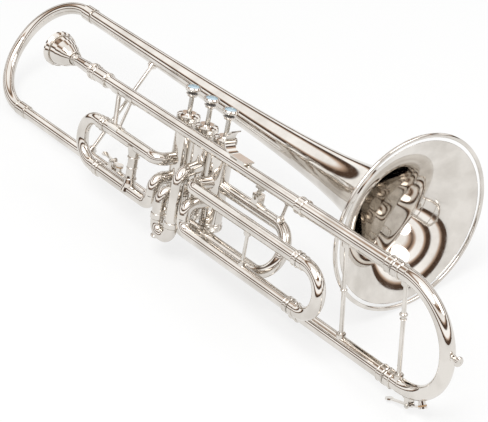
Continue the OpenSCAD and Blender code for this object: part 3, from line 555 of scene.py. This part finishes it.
MAIN_PIPES = ((0.0, 0.0), (RETURN_Y, RETURN_Z))
lo, hi = span("upper_main_sleeve")
sleeve_r = (hi[2] - lo[2]) / 2
rows = []
for y, z in MAIN_PIPES:
    rows += placed(place(lo[0], y, z), FWD, fitted(sleeve_r, SLEEVE_MOUTH_BEADS))
    rows += placed(place(hi[0], y, z), FWD, fitted(sleeve_r, SLEEVE_END_BEADS))
beads("main_sleeve_beads", "trombone_body", rows)

crook_start = span("tuning_crook")[0][0]
rows = []
for y, z in MAIN_PIPES:
    rows += placed(place(crook_start, y, z), FWD, CROOK_RING_BEADS)
beads("crook_ring_beads", "tuning_slide", rows)

lo, hi = span("receiver")
table = fitted((hi[2] - lo[2]) / 2, RECEIVER_MOUTH_BEADS) + RECEIVER_TUBE_BEADS
beads("receiver_beads", "trombone_body", placed(place(lo[0], 0, 0), FWD, table))

tip = place(span("mouthpiece")[0][0], 0, 0)
beads("mouthpiece_rings", "mouthpiece_body", placed(tip, FWD, MOUTHPIECE_BEADS))

stay_dir = turn((0.0, RETURN_Y, RETURN_Z))
start = place(middle("tuning_brace")[0], 0, 0)
beads("tuning_brace_collar", "tuning_slide", placed(start, stay_dir, TUNING_STAY_BEADS))
start = place(FIXED_STAY_X, 0, 0)
beads("fixed_stay_collar", "trombone_body", placed(start, stay_dir, FIXED_STAY_BEADS))

for body, root, axis in (
    ("second_slide", place(*SECOND_KNOB_ROOT), -UP),
    ("tuning_slide", place(*TUNING_KNOB_ROOT), FWD),
):
    beads(f"{body}_knob_beads", body, placed(root, axis, KNOB_BEADS))

rows = []
for x in NECK_FERRULE_XS:
    rows += placed(place(x, NECK_Y, NECK_Z), FWD, NECK_FERRULE_BEADS)
beads("neck_ferrule_beads", "trombone_body", rows)

beads("hand_grip_beads", "trombone_body", placed(place(*middle("hand_grip")), UP, HAND_GRIP_BEADS))

# ---- cork pads and pin heads of the two water keys, with sizes in mm ----

DRAIN_TURN = math.radians(28.0)  # the crook's drain, forward of straight down
DRAIN_REACH = 69.32  # from the crook's centre to the pad
PAD_PROFILE = [(0.0, 2.6), (0.0, 3.7), (0.25, 4.05), (1.4, 4.12), (1.7, 3.95), (1.7, 2.6)]
PAD_SEGMENTS, PIN_SEGMENTS = 48, 32
PIN_PROFILE = [(0.0, 1.7), (0.5, 1.95), (1.0, 1.75), (1.3, 1.1), (1.35, 0.4)]
PIN_HALF, PIN_SEATING = 4.5, 0.8

drain_axis = turn((math.sin(DRAIN_TURN), 0.0, -math.cos(DRAIN_TURN)))
drain_seat = place(CROOK_X, RETURN_Y, CROOK_MID_Z) + drain_axis * DRAIN_REACH * MM
pads = (
    ("front_key", "front_water_key", drain_seat, drain_axis),
    ("neck_key", "neck_water_key", place(NECK_PAD_X, NECK_Y, NECK_PAD_Z), UP),
)
for name, body, seat, axis in pads:
    lathe(f"{name}_cork", body, CORK, seat, axis, PAD_PROFILE, PAD_SEGMENTS)

for name, body in (("front_key", "tuning_slide"), ("neck_key", "trombone_body")):
    joint = joints[f"{name}_open"]
    pin = Vector(joint["pos_m"])
    for tag, side in (("a", 1.0), ("b", -1.0)):
        out = Vector(joint["axis"]).normalized() * side
        head = pin + out * PIN_HALF * MM - out * PIN_SEATING * MM
        lathe(
            f"{name}_pin_head_{tag}", body, SATIN, head, out, PIN_PROFILE,
            PIN_SEGMENTS, closed=False,
        )


# ---- floor and sky ----

FLOOR_HALF = 6.0
FLOOR_COLOUR = (0.86, 0.86, 0.855, 1)
FLOOR_WHITE = 0.72  # how much of the floor is plain white to the camera and in reflections
SKY_GLOSS, SKY_PLAIN = 1.25, 0.7
PURE_WHITE = (1, 1, 1, 1)
WHITE, WARM, DARK = (1.0, 1.0, 1.0), (0.5, 0.36, 0.27), (0.075, 0.045, 0.03)
# Bands of a studio with white panels and warm dark gaps, from its floor to its ceiling
SKY_BANDS = [
    (0.0, DARK), (0.09, DARK), (0.13, WARM), (0.18, WHITE), (0.34, WHITE), (0.38, DARK),
    (0.47, DARK), (0.52, WARM), (0.56, WHITE), (0.7, WHITE), (0.74, WARM), (0.79, DARK),
    (0.84, WARM), (0.9, WHITE), (1.0, WHITE),
]


def maths(tree, operation, first, second, clamp=False):
    """A Math node of a linked value and a linked or plain second one."""
    node = tree.nodes.new("ShaderNodeMath")
    node.operation = operation
    node.use_clamp = clamp
    tree.links.new(first, node.inputs[0])
    if isinstance(second, float):
        node.inputs[1].default_value = second
    else:
        tree.links.new(second, node.inputs[1])
    return node.outputs[0]


def mixed(tree, share, first, second):
    node = tree.nodes.new("ShaderNodeMixShader")
    tree.links.new(share, node.inputs["Fac"])
    tree.links.new(first, node.inputs[1])
    tree.links.new(second, node.inputs[2])
    return node.outputs[0]


def floor_material():
    """White to the camera and in reflections, and still lightly shaded under the object."""
    material = bpy.data.materials.new("floor_white")
    material.use_nodes = True
    tree = material.node_tree
    tree.nodes.clear()
    out = tree.nodes.new("ShaderNodeOutputMaterial")
    plain = add(tree, "ShaderNodeBsdfDiffuse", Color=FLOOR_COLOUR)
    glow = add(tree, "ShaderNodeEmission", Color=PURE_WHITE)
    rays = tree.nodes.new("ShaderNodeLightPath").outputs
    seen = maths(tree, "ADD", rays["Is Camera Ray"], rays["Is Glossy Ray"])
    seen = maths(tree, "ADD", seen, rays["Is Transmission Ray"], clamp=True)
    share = maths(tree, "MULTIPLY", seen, FLOOR_WHITE)
    surface = mixed(tree, share, plain.outputs[0], glow.outputs[0])
    tree.links.new(surface, out.inputs["Surface"])
    return material


def make_floor():
    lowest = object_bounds()[0].z
    mesh = bpy.data.meshes.new("floor")
    signs = ((-1, -1), (1, -1), (1, 1), (-1, 1))
    corners = [(a * FLOOR_HALF, b * FLOOR_HALF, lowest) for a, b in signs]
    mesh.from_pydata(corners, [], [(0, 1, 2, 3)])
    mesh.materials.append(floor_material())
    floor = bpy.data.objects.new("floor", mesh)
    scene.collection.objects.link(floor)


def make_world():
    """White to the camera, banded in reflections, and plain for the rest of the light."""
    world = bpy.data.worlds.new("studio")
    scene.world = world
    world.use_nodes = True
    tree = world.node_tree
    tree.nodes.clear()
    out = tree.nodes.new("ShaderNodeOutputWorld")
    coords = tree.nodes.new("ShaderNodeTexCoord")
    parts = tree.nodes.new("ShaderNodeSeparateXYZ")
    tree.links.new(coords.outputs["Generated"], parts.inputs["Vector"])
    bands = ramp(tree, parts.outputs["Z"], SKY_BANDS)
    gloss = add(tree, "ShaderNodeBackground", Strength=SKY_GLOSS)
    tree.links.new(bands.outputs["Color"], gloss.inputs["Color"])
    plain = add(tree, "ShaderNodeBackground", Color=PURE_WHITE, Strength=SKY_PLAIN)
    white = add(tree, "ShaderNodeBackground", Color=PURE_WHITE)
    rays = tree.nodes.new("ShaderNodeLightPath").outputs
    light = mixed(tree, rays["Is Glossy Ray"], plain.outputs[0], gloss.outputs[0])
    surface = mixed(tree, rays["Is Camera Ray"], light, white.outputs[0])
    tree.links.new(surface, out.inputs["Surface"])


make_floor()
make_world()

# ---- lamps and camera ----


def lamp(name, location, target, width, power):
    data = bpy.data.lights.new(name, "AREA")
    data.shape = "DISK"
    data.size = width
    data.energy = power
    light = bpy.data.objects.new(name, data)
    scene.collection.objects.link(light)
    light.location = location
    light.rotation_mode = "QUATERNION"
    light.rotation_quaternion = (target - location).to_track_quat("-Z", "Y")


centre = (cad_box[0] + cad_box[1]) / 2
lamp("key", centre + Vector((0.5, -0.9, 2.0)), centre, width=1.4, power=26.0)
lamp("fill", centre + Vector((1.3, 0.9, 1.5)), centre, width=1.2, power=9.0)

# The photograph's camera, fitted in the instrument's frame
EYE = (1665.8, -1187.8, 700.3)
LOOK = (-0.69554958, 0.61032725, -0.37909288)
RIGHT = (0.59625714, 0.7847216, 0.16937955)
LENS, SENSOR, SHIFT, CLIP_END = 146.02, 36.0, -0.0041, 50.0

camera_data = bpy.data.cameras.new("camera")
camera_data.lens = LENS
camera_data.sensor_width = SENSOR
camera_data.shift_x = SHIFT
camera_data.shift_y = SHIFT
camera_data.clip_end = CLIP_END
camera = bpy.data.objects.new("camera", camera_data)
scene.collection.objects.link(camera)
scene.camera = camera
right, back = turn(RIGHT), -turn(LOOK)
upward = back.cross(right).normalized()
matrix = Matrix((right, upward, back)).transposed().to_4x4()
matrix.translation = place(*EYE)
camera.matrix_world = matrix

scene.view_settings.view_transform = "Standard"
